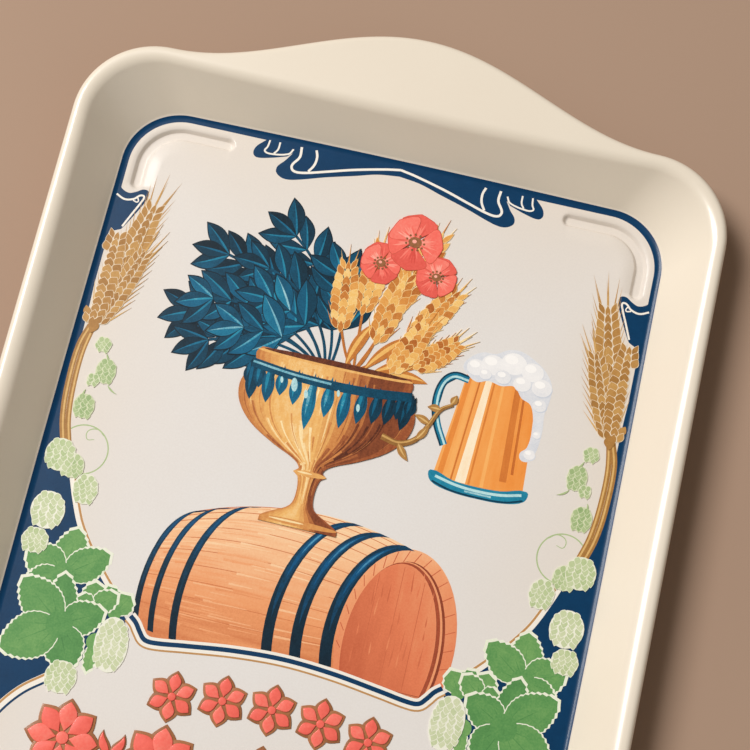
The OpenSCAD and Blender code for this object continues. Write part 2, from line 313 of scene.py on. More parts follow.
# Each ink: its colours from tone 0 to tone 1, and how it is blotted
INKS = {
    "navy_ink": ([
        (0.0, 0, 34, 60), (0.3, 0, 58, 98), (0.5, 4, 82, 138), (0.66, 184, 134, 82),
        (0.78, 198, 152, 98), (0.9, 238, 231, 216), (1.0, 242, 236, 226)],
        {"spread": 0.07, "grain_share": 0.05}),
    "gold_ink": ([
        (0.0, 116, 72, 28), (0.3, 178, 130, 70), (0.55, 210, 166, 100), (0.75, 228, 192, 128),
        (0.93, 238, 231, 216)],
        {"blot": 3, "spread": 0.09, "grain_share": 0.07}),
    "straw_ink": ([
        (0.0, 112, 58, 22), (0.25, 182, 104, 44), (0.5, 222, 150, 72), (0.75, 242, 194, 112),
        (1.0, 252, 230, 178)],
        {"blot": 3, "spread": 0.1}),
    "pale_green_ink": ([
        (0.0, 132, 164, 104), (0.4, 184, 200, 150), (0.7, 212, 218, 182), (1.0, 238, 238, 222)],
        {"blot": 4, "spread": 0.08, "grain_share": 0.1}),
    "leaf_ink": ([
        (0.0, 48, 104, 58), (0.35, 92, 148, 84), (0.6, 126, 172, 102), (0.8, 160, 194, 130),
        (0.92, 228, 234, 206), (1.0, 236, 238, 220)],
        {"blot": 4, "spread": 0.12, "grain": 0.9, "grain_share": 0.12}),
    "barrel_ink": ([
        (0.0, 118, 56, 32), (0.25, 204, 116, 70), (0.5, 236, 158, 106), (0.75, 246, 194, 148),
        (1.0, 252, 224, 182)],
        {"blot": 9, "spread": 0.1, "grain_share": 0.07, "stretch": (0.35, 4.0, 1.0)}),
    "barrel_head_ink": ([
        (0.0, 96, 40, 28), (0.25, 190, 92, 60), (0.5, 226, 126, 86), (0.75, 240, 164, 116),
        (1.0, 250, 206, 160)],
        {"blot": 12, "spread": 0.08, "grain_share": 0.06, "stretch": (2.5, 0.6, 1.0)}),
    "vase_ink": ([
        (0.0, 84, 40, 26), (0.25, 156, 84, 48), (0.5, 208, 136, 74), (0.75, 238, 184, 108),
        (1.0, 252, 228, 176)],
        {"blot": 4, "spread": 0.12, "grain_share": 0.08, "stretch": (2.2, 0.7, 1.0)}),
    "hoop_ink": ([
        (0.0, 6, 22, 34), (0.4, 12, 50, 70), (0.75, 8, 90, 140), (1.0, 100, 176, 208)],
        {"blot": 4, "spread": 0.14}),
    "teal_ink": ([
        (0.0, 2, 30, 44), (0.25, 0, 60, 84), (0.5, 6, 98, 134), (0.75, 36, 146, 176),
        (1.0, 190, 228, 230)],
        {"blot": 5, "spread": 0.12}),
    "red_ink": ([
        (0.0, 134, 86, 52), (0.2, 176, 118, 78), (0.34, 214, 76, 66), (0.6, 246, 112, 98),
        (0.85, 252, 160, 142), (1.0, 255, 220, 208)],
        {"blot": 4, "spread": 0.06, "grain": 1.0, "grain_share": 0.06}),
    "amber_ink": ([
        (0.0, 182, 90, 36), (0.4, 240, 148, 66), (0.7, 250, 184, 106), (1.0, 254, 238, 208)],
        {"blot": 6, "spread": 0.1, "grain_share": 0.04, "stretch": (2.5, 0.5, 1.0)}),
    "white_ink": ([
        (0.0, 150, 166, 188), (0.4, 204, 210, 221), (0.7, 236, 235, 236), (1.0, 252, 250, 248)],
        {"blot": 5, "spread": 0.14}),
}
# Some inks, each paired with the name of another ink
SLOTS = {"barrel_head_ink": "barrel_ink", "vase_ink": "barrel_ink", "straw_ink": "gold_ink"}


# ---- Stations round the tray, anticlockwise from +X ----

CORNER_STEPS = 22
END_LENGTH = 2 * (FLAT[0] - FLAT_R)
SIDE_LENGTH = 2 * (FLAT[1] - FLAT_R)


def stops(length, arm, steps):
    """Distances along a straight side, close together where a foot groove ends."""
    first = arm - FOOT_W * 0.8
    last = arm + FOOT_W * 0.2
    before = [first * k / 5 for k in range(1, 5)]
    near = [first + (last - first) * k / 12 for k in range(13)]
    middle = [last + (length - 2 * last) * k / steps for k in range(1, steps)]
    return before + near + middle + [length - d for d in reversed(before + near)]


END_STOPS = stops(END_LENGTH, FOOT_ARM[0], 52)
SIDE_STOPS = stops(SIDE_LENGTH, FOOT_ARM[1], 20)


def turned(x, y, quarter):
    return ((x, y), (-y, x), (-x, -y), (y, -x))[quarter]


def outline(half, radius):
    """A rounded rectangle with the same stations whatever its size."""
    points = []
    for quarter in range(4):
        on_end = quarter % 2 == 0
        wide, tall = half if on_end else (half[1], half[0])
        length, marks = (END_LENGTH, END_STOPS) if on_end else (SIDE_LENGTH, SIDE_STOPS)
        for step in range(CORNER_STEPS + 1):
            angle = pi / 2 * step / CORNER_STEPS
            x = wide - radius + radius * cos(angle)
            y = tall - radius + radius * sin(angle)
            points.append(turned(x, y, quarter))
        for d in marks:
            points.append(turned((wide - radius) * (1 - 2 * d / length), tall, quarter))
    return points


def hump(x):
    """How far the handle's wavy edge stands out at x."""
    half = EDGE[0] - EDGE_R
    return HANDLE_REACH * (1 + cos(pi * x / half)) / 2 if abs(x) < half else 0


def with_handles(points):
    return [(x, y + copysign(hump(x), y)) if abs(y) > EDGE[1] - 0.001 else (x, y)
            for x, y in points]


FLAT_LINE = outline(FLAT, FLAT_R)
CREASE_LINE = outline((EDGE[0] - LEVEL_STRIP, EDGE[1] - LEVEL_STRIP), EDGE_R - LEVEL_STRIP)
EDGE_LINE = with_handles(outline(EDGE, EDGE_R))
STATIONS = len(FLAT_LINE)
SPANS = [Vector(crease) - Vector(flat) for flat, crease in zip(FLAT_LINE, CREASE_LINE)]
OUTWARD = [span.normalized() for span in SPANS]


def wall_slope(run):
    """Slope of the wall that is tangent to the bend below it and to the lip above."""
    rise = LIP_Z - FLOOR_Z - BEND_R
    return atan2(rise, run) + asin((BEND_R + LIP_R) / hypot(rise, run))


SLOPES = [wall_slope(span.length) for span in SPANS]


def lower_bend(share, lift=0.0):
    """Ring on the bend round the floor, at a share of the wall's full slope."""
    ring = []
    for (x, y), out, slope in zip(FLAT_LINE, OUTWARD, SLOPES):
        run = (BEND_R - lift) * sin(share * slope)
        height = FLOOR_Z + BEND_R - (BEND_R - lift) * cos(share * slope)
        ring.append((x + out.x * run, y + out.y * run, height))
    return ring


def upper_bend(share):
    """Ring on the lip between the wall and the level flange."""
    ring = []
    for (x, y), out, slope in zip(CREASE_LINE, OUTWARD, SLOPES):
        run = LIP_R * sin(share * slope)
        ring.append((x - out.x * run, y - out.y * run, LIP_Z + LIP_R * cos(share * slope)))
    return ring


# ---- Foot grooves ----

def past_arm(station):
    """How far a station lies beyond the centre of the groove's round end."""
    half_turn = STATIONS // 2
    corner_and_end = CORNER_STEPS + 1 + len(END_STOPS)
    index = station % half_turn
    on_end = index < corner_and_end
    index = index if on_end else index - corner_and_end
    if index <= CORNER_STEPS:
        return 0
    d = (END_STOPS if on_end else SIDE_STOPS)[index - CORNER_STEPS - 1]
    length = END_LENGTH if on_end else SIDE_LENGTH
    arm = FOOT_ARM[0] if on_end else FOOT_ARM[1]
    return max(0, min(d, length - d) - arm + FOOT_W / 2)


PAST_ARM = [past_arm(station) for station in range(STATIONS)]


def groove_depth(inset, station):
    """Depth of the L-shaped groove at a distance inside the flat floor's edge."""
    share = hypot(inset - FOOT_INSET - FOOT_W / 2, PAST_ARM[station]) / (FOOT_W / 2)
    fall = min(1, max(0, 1 - share) / (1 - FOOT_BOTTOM))
    return FOOT_DROP * (1 - cos(pi * fall)) / 2


def floor_ring(inset, lift=0.0):
    line = outline((FLAT[0] - inset, FLAT[1] - inset), FLAT_R - inset)
    return [(x, y, FLOOR_Z + lift - groove_depth(inset, station))
            for station, (x, y) in enumerate(line)]


def floor_rings(lift=0.0):
    across = [FOOT_INSET + FOOT_W * k / 12 for k in range(12, -1, -1)]
    insets = [FOOT_INSET + FOOT_W + 6] + across + [FOOT_INSET / 2]
    return [floor_ring(inset, lift) for inset in insets]


# ---- Sheet metal ----

def sheet_through(name, rings, filled, thickness):
    """A sheet drawn out from a circle of points, ring after ring, and filled in the middle."""
    count = len(rings[0])
    bpy.ops.object.select_all(action="DESELECT")
    bpy.ops.mesh.primitive_circle_add(vertices=count, radius=1, fill_type="NOTHING")
    piece = bpy.context.object
    piece.name = name
    piece.data.attributes.new("order", "INT", "POINT")
    edit_all(piece)
    bpy.ops.mesh.select_mode(type="EDGE")
    for step, ring in enumerate(rings):
        if step:
            bpy.ops.mesh.extrude_edges_move()
        mesh = bmesh.from_edit_mesh(piece.data)
        order = mesh.verts.layers.int["order"]
        picked = [vert for vert in mesh.verts if vert.select]
        for vert in picked:
            station = vert[order] % count if step else vert.index
            vert[order] = step * count + station
            vert.co = Vector(ring[station]) * MM
        bmesh.update_edit_mesh(piece.data)
    if filled:
        mesh = bmesh.from_edit_mesh(piece.data)
        order = mesh.verts.layers.int["order"]
        bpy.ops.mesh.select_all(action="DESELECT")
        for edge in mesh.edges:
            edge.select_set(all(vert[order] < count for vert in edge.verts))
        bmesh.update_edit_mesh(piece.data)
        bpy.ops.mesh.edge_face_add()
    bpy.ops.mesh.select_mode(type="VERT")
    bpy.ops.mesh.select_all(action="SELECT")
    bpy.ops.mesh.normals_make_consistent(inside=False)
    mesh = bmesh.from_edit_mesh(piece.data)
    mesh.faces.ensure_lookup_table()
    if mesh.faces[0].normal.z < 0:
        bpy.ops.mesh.flip_normals()
    leave_edit()
    piece.data.attributes.remove(piece.data.attributes["order"])
    apply_modifier(piece, "SOLIDIFY", thickness=thickness * MM, offset=-1)
    only(piece)
    bpy.ops.object.shade_smooth_by_angle(angle=radians(40))
    return piece


BEND_SHARES = [k / 8 for k in range(9)]


def tray_pan():
    """Floor with its foot grooves, sloping wall and the level flange with both handles."""
    rings = floor_rings()
    rings += [lower_bend(share) for share in BEND_SHARES]
    rings += [upper_bend(share) for share in reversed(BEND_SHARES)]
    for share in (0.25, 0.5, 0.75, 1):
        rings.append([(*Vector(crease).lerp(Vector(edge), share), RIM_TOP)
                      for crease, edge in zip(CREASE_LINE, EDGE_LINE)])
    return sheet_through("tray_pan_finish", rings, True, SHEET)


def edge_normal(station):
    along = Vector(EDGE_LINE[(station + 1) % STATIONS]) - Vector(EDGE_LINE[station - 1])
    return Vector((along.y, -along.x)).normalized()


def rolled_rim():
    """The sheet's edge, rolled outwards and under in a round bead."""
    outs = [edge_normal(station) for station in range(STATIONS)]
    turns = [0, 0.01] + [k / 30 for k in range(1, 31)]
    rings = []
    for share in turns:
        run = ROLL_R * sin(share * ROLL_WRAP)
        height = ROLL_Z + ROLL_R * cos(share * ROLL_WRAP)
        rings.append([(x + out.x * run, y + out.y * run, height)
                      for (x, y), out in zip(EDGE_LINE, outs)])
    return sheet_through("rolled_rim_finish", rings, False, SHEET)


# Shares of the bend that the border line covers
LINE_SHARES = [0, 0.13, 0.26, 0.39, 0.52, 0.65]


def base_coat():
    """Base coat over the floor and a little way up the bend, past the border line."""
    rings = floor_rings(COAT)
    rings += [lower_bend(share, COAT) for share in LINE_SHARES + [0.76]]
    return sheet_through("base_coat", rings, True, COAT / 2)


def border_line():
    """Navy line round the floor, from its flat edge up the bend."""
    lift = COAT + 5 * LAYER
    rings = [floor_ring(inset, lift) for inset in (1.0, 0.5)]
    rings += [lower_bend(share, lift) for share in LINE_SHARES]
    return sheet_through("border_line", rings, False, COAT / 2)


# ---- Outlines of the picture ----

def heading(spots, k, closed):
    """Direction of a smooth line through the spots, at spot k."""
    last = len(spots) - 1
    if closed:
        ahead, behind = spots[(k + 1) % len(spots)], spots[k - 1]
    else:
        ahead, behind = spots[min(k + 1, last)], spots[max(k - 1, 0)]
    return (ahead - behind).normalized()


def smooth(points, closed=True, steps=5):
    """Points along a smooth line; a point that has a third value stays a sharp corner."""
    spots = [Vector(point[:2]) for point in points]
    count = len(spots)
    line = []
    for k in range(count if closed else count - 1):
        following = (k + 1) % count
        here, there = spots[k], spots[following]
        chord = there - here
        leave = heading(spots, k, closed) if len(points[k]) == 2 else chord.normalized()
        arrive = heading(spots, following, closed) if len(points[following]) == 2 else chord.normalized()
        straight = len(points[k]) == 3 and len(points[following]) == 3
        for step in range(1 if straight else steps):
            t = step / steps
            place = here * (2 * t ** 3 - 3 * t ** 2 + 1) + there * (3 * t ** 2 - 2 * t ** 3)
            pull = leave * (t ** 3 - 2 * t ** 2 + t) + arrive * (t ** 3 - t ** 2)
            line.append(tuple(place + pull * chord.length))
    if not closed:
        line.append(tuple(spots[-1]))
    return line


def band(points, width, steps=6, shift=0.0, start=1.0, end=1.0):
    """A strip along a smooth open line, moved sideways by shift, thinned at its ends."""
    line = [Vector(point) for point in smooth(points, False, steps)]
    left, right = [], []
    for k, place in enumerate(line):
        along = heading(line, k, False)
        across = Vector((-along.y, along.x))
        share = k / (len(line) - 1)
        half = width / 2 * (start + (end - start) * share if start != end else start)
        left.append(tuple(place + across * (shift + half)))
        right.append(tuple(place + across * (shift - half)))
    return left + right[::-1]


def oval(x, y, wide, tall, steps=24, turn=0.0):
    """An ellipse by its centre and half sizes, turned by degrees."""
    lean = radians(turn)
    points = []
    for k in range(steps):
        a = 2 * pi * k / steps
        u, v = wide * cos(a), tall * sin(a)
        points.append((x + u * cos(lean) - v * sin(lean),
                       y + u * sin(lean) + v * cos(lean)))
    return points


def arc(x, y, wide, tall, first, last, steps):
    """Part of an ellipse's outline, between two angles in degrees."""
    angles = [radians(first + (last - first) * k / steps) for k in range(steps + 1)]
    return [(x + wide * cos(a), y + tall * sin(a)) for a in angles]


def blade(x, y, turn, length, width, curl=0.0, full=0.8, steps=8, grow=0.0, teeth=0.0, blunt=1.0,
          half=None):
    """A leaf, kernel or petal from its root: turn is in degrees to the left of up.

    It bends by curl degrees along its length, is widest nearer its root when full is
    under 1, and has a round tip when blunt is under 1. It is made larger all round by
    grow, and its edge is cut with teeth. It may be its left or its right half alone.
    """
    angle = radians(90 + turn)
    place = Vector((x, y)) - Vector((cos(angle), sin(angle))) * grow
    stride = (length + 2 * grow) / steps
    left, middle, right = [], [], []
    for k in range(steps + 1):
        share = k / steps
        reach = (width / 2 + grow) * max(0, sin(pi * share ** full)) ** blunt
        reach += teeth * share * (k % 2) if k < steps else 0
        lean = angle + radians(curl) * share
        across = Vector((-sin(lean), cos(lean)))
        left.append(tuple(place + across * reach))
        if 0 < k < steps:
            middle.append(tuple(place))
            right.append(tuple(place - across * reach))
        place = place + Vector((cos(lean), sin(lean))) * stride
    if half == "left":
        return left + middle[::-1]
    if half == "right":
        return [left[0]] + right + [left[-1]] + middle[::-1]
    return left + right[::-1]


def edged(x, y, turn, length, width, edge, face, grow, longer=0.0, **form):
    """A blade in the tone of its face, on a larger one in the tone of its edge."""
    return [(blade(x, y, turn, length + longer, width, grow=grow, **form), edge),
            (blade(x, y, turn, length, width, **form), face)]


def mirrored(shapes):
    """The shapes on the other side of the middle line."""
    return [([(-x, y) for x, y in line], tone) for line, tone in shapes]


def both_sides(shapes):
    """The shapes and their mirror images."""
    shapes = list(shapes)
    return shapes + mirrored(shapes)


def upended(shapes):
    """The shapes turned over to the other end of the floor."""
    return [([(x, -2 * TOP - y) for x, y in line], tone) for line, tone in shapes]


def layers(shapes):
    """The layer of each shape: just above every earlier shape whose box it overlaps."""
    found = []
    boxes = []
    for line, _ in shapes:
        across, along = zip(*line)
        box = (min(across), max(across), min(along), max(along))
        under = [layer for layer, other in zip(found, boxes)
                 if box[0] < other[1] and other[0] < box[1] and box[2] < other[3] and other[2] < box[3]]
        found.append(max(under, default=-1) + 1)
        boxes.append(box)
    return found


def printed(name, start, shapes, finish):
    """Ink laid on the base coat, from a start height above it.

    Each shape is a filled circle of points that is drawn out to its outline. It lies
    above the earlier shapes that it overlaps, and reaches down into the base coat.
    The top height of the ink is returned as well.
    """
    bpy.ops.object.select_all(action="DESELECT")
    bpy.ops.mesh.primitive_circle_add(vertices=len(shapes[0][0]), radius=1, fill_type="NGON")
    piece = bpy.context.object
    piece.name = name
    piece.data.attributes.new("tone", "FLOAT", "POINT")
    bpy.ops.object.mode_set(mode="EDIT")
    heights = [start + LAYER * layer for layer in layers(shapes)]
    for (line, tone), height in zip(shapes, heights):
        if line is not shapes[0][0]:
            bpy.ops.mesh.primitive_circle_add(vertices=len(line), radius=1, fill_type="NGON")
        mesh = bmesh.from_edit_mesh(piece.data)
        mesh.verts.ensure_lookup_table()
        tones = mesh.verts.layers.float["tone"]
        for vert, (x, y) in zip(mesh.verts[len(mesh.verts) - len(line):], line):
            vert.co = Vector((x, y + TOP, FLOOR_Z + COAT + height)) * MM
            vert[tones] = tone(x, y) if callable(tone) else tone
    mesh.normal_update()
    for face in mesh.faces:
        face.select_set(face.normal.z < 0)
    bmesh.update_edit_mesh(piece.data)
    bpy.ops.mesh.flip_normals()
    leave_edit()
    top = max(heights)
    apply_modifier(piece, "SOLIDIFY", thickness=(top + LAYER) * MM, offset=-1)
    piece.data.materials.append(finish.material)
    return piece, top


# ---- Tones of the inks ----

# In the navy ink
NAVY, TAN, CREAM = 0.25, 0.72, 1.0
# In the gold and the green inks the last tone is the same cream
PALE = 1.0


# ---- Border ----

def side_field():
    """Navy field down the left side, with the cream and tan lines along its inner edges."""
    edge = -FLAT[0] - 0.2
    upper = [(-110.5, -176), (-106, -187), (-101, -197), (-92, -209), (-80, -222)]
    lower = [(-98, -264.5), (-106, -271), (-113, -280), (-119.5, -293), (-123.5, -306)]
    field = [(edge, -62), (-122.6, -98), (-122, -125), (-120.5, -150), (-117, -162), (-112, -172)]
    field += upper + [(-70, -232), (-76, -244), (-88, -256)] + lower + [(edge, -309)]
    yield field, NAVY
    for line in (upper, [(-94, -261.5)] + lower):
        outside = 1 if line is upper else -1
        yield band(line, 3.4, shift=1.1 * outside), CREAM
        yield band(line, 1.0, shift=2.1 * outside), TAN
        yield band(line, 1.0, shift=-0.9 * outside), NAVY


def ribbon_half():
    """Right half of the whiplash ribbon that hangs from the border line."""
    shapes = [
        (smooth([(63, -3.4, 1), (64.8, -5), (67.6, -8.2), (68.2, -11.4), (66.3, -13.2), (60.4, -12.2),
                 (52.6, -9.7, 1), (49, -6, 1), (49, -3.4, 1)]), NAVY),
        (smooth([(-0.5, -3.4, 1), (-0.5, -7.4, 1), (10, -8.8), (20, -11.8), (33.2, -15.6), (46.3, -19.9),
                 (51.8, -20.5), (55.6, -18.4), (55.8, -15.4), (53, -11.8), (50.6, -8, 1),
                 (50.6, -3.4, 1)]), NAVY)]
    lines = [
        ([(0, -4.2), (7.3, -5.6), (21.6, -9.2), (33.9, -13), (43.6, -15.8), (48.2, -15.8), (49.4, -13.4),
          (46.8, -8.7), (47, -3.7)], 1.15),
        ([(40, -3.7), (39, -7), (39.4, -11), (41.4, -14.6)], 1.1),
        ([(62, -3.7), (62.4, -7), (63.2, -9.4), (59.6, -10.1), (52.2, -8.4), (50.4, -5.6)], 0.8),
        ([(57.2, -3.7), (57.4, -7.3), (58.8, -9.6)], 0.8)]
    return shapes + [(band(line, width), CREAM) for line, width in lines]


def hook():
    """Hook of the border line at the left, above the wheat."""
    edge = -FLAT[0] - 0.2
    return [
        (smooth([(edge, -37, 1), (-123, -41.4), (-119, -43.3), (-115.6, -42), (-112.8, -40.3),
                 (-110.2, -40.8), (-109.8, -43.8), (-112, -49.5), (-116.5, -58.5), (-118, -61, 1),
                 (edge, -64, 1)]), NAVY),
        (band([(edge, -45), (-120, -46.7), (-116, -45.7), (-113.4, -43.4), (-111.6, -43.6),
               (-112.4, -46.8), (-114.8, -52.4), (-117.8, -59.6)], 0.9), CREAM),
        (band([(-114.6, -44.2), (-113.8, -46.6), (-116.2, -46.4)], 0.6), CREAM)]


def scroll_line():
    """Navy line between the barrel and the ornament, edged with cream and tan."""
    half = [(-69, -229.6), (-66, -232), (-63.4, -235.4), (-60.6, -238.2), (-56, -238.6),
            (-44, -237), (-22, -234.2)]
    line = half + [(0, -233)] + [(-x, y) for x, y in reversed(half)]
    return [(band(line, 5.6, shift=-0.5), CREAM),
            (band(line, 0.8, shift=-2.9), TAN),
            (band(line, 2.0), NAVY)]


# ---- Wheat and hops of the left side ----

def ear(root, tip, width, count, dice, tones, awn=0.0):
    """An ear of corn: kernels in three rows along its axis, and awns that stand off its edge."""
    root, tip = Vector(root), Vector(tip)
    axis = tip - root
    lean = degrees(atan2(-axis.x, axis.y))
    across = Vector((axis.y, -axis.x)).normalized()
    size = axis.length / count
    for k in range(count * 3 if awn else 0):
        share = (k + 1) / (count * 3)
        side = (-1, 1, 0)[k % 3]
        place = root + axis * share + across * side * width * 0.4 * (1 - share * 0.6)
        turn = lean - side * (27 - 16 * share) + dice.uniform(-2, 2)
        length = awn * (0.62 + 0.3 * share)
        yield blade(*place, turn, length, 0.8, full=0.35), dice.choice(tones) + 0.16
    for k in range(count, -1, -1):
        share = k / count
        half = width / 2 * sin(pi * (0.16 + 0.72 * share)) ** 0.7
        for side in (-1, 1, 0):
            place = root + axis * (share - 0.5 * (side == 0) / count) + across * side * half * 0.62
            yield from edged(*place, lean - side * 24, size * 1.55, half * 0.86,
                             0.86, dice.choice(tones), 0.24, full=0.9)


def wheat():
    """Two stalks and three ears, without what would lie past the floor's edge."""
    dice = random.Random(4)
    tones = (0.24, 0.28, 0.32, 0.36, 0.42)
    stalks = [[(-118.6, -104), (-122.4, -118), (-122.4, -138), (-120.6, -152), (-117, -164)],
              [(-117.4, -104), (-120, -120), (-119.8, -138), (-118, -152), (-114.4, -164)]]
    shapes = []
    for stalk in stalks:
        shapes.append((band(stalk, 2.5), 0.24))
        shapes.append((band(stalk, 0.8, shift=0.2), 0.62))
    shapes += ear((-117.6, -106), (-106.2, -50), 10.5, 15, dice, tones, awn=22)
    shapes += ear((-116.5, -106), (-105.4, -72), 8, 11, dice, tones, awn=20)
    shapes += ear((-119.6, -107), (-118.8, -66), 11, 13, dice, tones)
    shapes.append((blade(-118.6, -111.5, -6, 7, 5, full=1.1), 0.26))
    return [(line, tone) for line, tone in shapes if min(x for x, y in line) > -FLAT[0] - 0.6]


# Each hop cone: its middle, its half sizes and its tone
HOP_CONES = [(-111.5, -115.3, 3.6, 3.4, 0.5), (-107.4, -127, 4.6, 5.8, 0.42),
             (-111.8, -132, 3, 2.8, 0.5), (-112.8, -144.5, 4.8, 5.6, 0.4),
             (-102.4, -180.5, 5.6, 6.8, 0.66), (-110.8, -171.5, 5.4, 5.6, 0.52),
             (-117.2, -168, 6.8, 7.4, 0.62), (-116, -193, 7.6, 8.4, 0.74),
             (-118, -207, 6, 5.6, 0.68), (-74, -243.5, 7.4, 12, 0.8), (-91.5, -261.5, 7, 7, 0.7)]


def hop_cone(x, y, wide, tall, tone, dice):
    """A hop cone: rows of overlapping scales that hang from its top."""
    size = 1.5 + 0.2 * wide
    light = min(1, tone + 0.26)
    yield oval(x, y, wide, tall, turn=6), min(1, tone + 0.24)
    rows = max(3, round(2 * tall / (size * 0.8)))
    for row in range(rows - 1, -1, -1):
        share = (row + 0.5) / rows
        level_y = y + tall * (0.92 - 1.7 * share)
        half = wide * sqrt(max(0.05, 1 - ((level_y - y) / tall) ** 2))
        count = max(1, round(2 * half / (size * 1.15)))
        for k in range(count):
            place = x + half * ((k + 0.5) / count * 2 - 1) * 0.86 + (row % 2 - 0.5) * 0.5
            shade = tone - 0.16 + dice.uniform(-0.1, 0.08)
            yield from edged(place, level_y + size * 0.4, 180 + (place - x) * 4,
                             size * 1.25, size, light, shade, 0.28)


def hop_cones():
    """Every hop cone of the left side, and three short stems."""
    dice = random.Random(9)
    for cone in HOP_CONES:
        yield from hop_cone(*cone, dice)
    for x, y, turn in ((-109, -119, 200), (-114, -137, 160), (-105, -133, 220)):
        yield blade(x, y, turn, 6, 0.8, curl=40), 0.3


# Each hop leaf: its middle, its lobes by turn, length and width, and its tone
HOP_LEAVES = [
    ((-76, -230), [(28, 12, 9), (-30, 10, 9)], 0.42),
    ((-86, -230), [(6, 11, 10), (-50, 12, 9), (70, 8, 8)], 0.44),
    ((-81, -244), [(178, 13, 5)], 0.5),
    ((-102, -219), [(-4, 21, 14), (-54, 22, 14), (68, 19, 16), (120, 18, 13)], 0.4),
    ((-98, -240), [(8, 22, 12), (-62, 20, 14), (52, 26, 17), (-154, 20, 17), (124, 27, 19)], 0.36)]


def hop_leaf(middle, lobes, tone, dice):
    """A hop leaf: toothed lobes outlined in cream, their veins, and the patch that joins them."""
    for turn, length, width in lobes:
        form = {"full": 0.85, "steps": 2 * round(length * 0.42) + 1, "teeth": 1.1, "blunt": 0.72}
        shade = tone + dice.uniform(-0.06, 0.08)
        yield from edged(*middle, turn, length, width, PALE, shade, 0.55, longer=1, **form)
        fold = blade(*middle, turn + 4, length * 0.86, width * 0.5, full=0.9, steps=10)
        yield fold, shade + 0.04
        for lean in (-24, 0, 24):
            reach = length * (0.84 if lean == 0 else 0.56)
            yield blade(*middle, turn + lean, reach, 0.5, full=0.4), shade - 0.1
    patch = min(length for turn, length, width in lobes) * 0.3
    yield oval(*middle, patch, patch, steps=14), tone


def hop_leaves():
    """Every hop leaf of the left side."""
    dice = random.Random(21)
    for leaf in HOP_LEAVES:
        yield from hop_leaf(*leaf, dice)


def tendril():
    """A thin ring of hop vine with a curl inside it."""
    ring = arc(-108, -163.5, 11, 11, -112.5, 225, 15)
    curl = [(-100.5, -155.6), (-104, -153.4), (-108, -155), (-107.6, -158.6), (-104.4, -158.2)]
    return [(band(ring, 0.6), 0.3), (band(curl, 0.6, end=0.5), 0.3)]


# ---- Barrel ----

BARREL_Y = -217
# x of the barrel's middle, its half height there, and how fast that falls away
BARREL_X, BARREL_RISE, BARREL_FALL = 3, 49, 0.0038


def barrel_rise(x):
    """Half height of the barrel at x."""
    return BARREL_RISE - BARREL_FALL * (x - BARREL_X) ** 2


def on_barrel(x, cosine, sine):
    """A point on the left half of the circle round the barrel at x."""
    rise = barrel_rise(x)
    return (x - rise * (0.56 + 0.0012 * x) * cosine, BARREL_Y + rise * sine)


def barrel_arc(x, low, high, steps=18):
    """The left half of the circle round the barrel at x, between two angles in degrees."""
    angles = [radians(low + (high - low) * k / steps) for k in range(steps + 1)]
    return [on_barrel(x, cos(a), sin(a)) for a in angles]


def along_barrel(marks, share):
    """A line along a stave, at a share of the barrel's half height."""
    return [on_barrel(x, sqrt(1 - share ** 2), share) for x in marks]


def barrel_shade(x, y):
    """Light on the upper left of the staves, dark towards the bottom and the ends."""
    across = (y - BARREL_Y) / barrel_rise(x)
    return 0.58 + 0.32 * across - 0.12 * abs(x) / 70


# The barrel's end and the disc set inside it: their middles and half sizes
BARREL_HEAD = (45, -215, 25.8, 41)
DISC_X, DISC_Y, DISC_W, DISC_H = 42.4, -218, 19.6, 36.8


def barrel_staves():
    """The bulging side of the barrel: its staves, their joints and the grain."""
    dice = random.Random(12)
    bottom = [(64, -236.5), (56, -238), (40, -236), (0, -233), (-40, -236), (-56, -238), (-63, -234)]
    body = (barrel_arc(-50, -22, 90) + along_barrel(range(-45, 44, 8), 1)
            + arc(*BARREL_HEAD, 92, -28, 20) + bottom)
    yield body, barrel_shade
    for k in range(11):
        joint = along_barrel(range(-49, 44, 9), sin(radians(-8 + 9 * k)))
        yield band(joint, 0.35, steps=2), 0.3
    for k in range(130):
        share = dice.uniform(-0.26, 0.97)
        start = dice.uniform(-50, 24)
        length = dice.uniform(9, 26)
        marks = [start + length * step / 4 for step in range(5)]
        grain = along_barrel([x for x in marks if x < 44], share)
        if len(grain) > 2:
            shade = barrel_shade(*grain[1]) + dice.choice((-0.12, -0.07, 0.07, 0.12))
            yield band(grain, dice.uniform(0.35, 1.2), steps=2, end=0.3), shade


def disc_half(x, tall):
    """Half height at x of an ellipse that is as wide as the disc."""
    return tall * sqrt(1 - ((x - DISC_X) / DISC_W) ** 2)


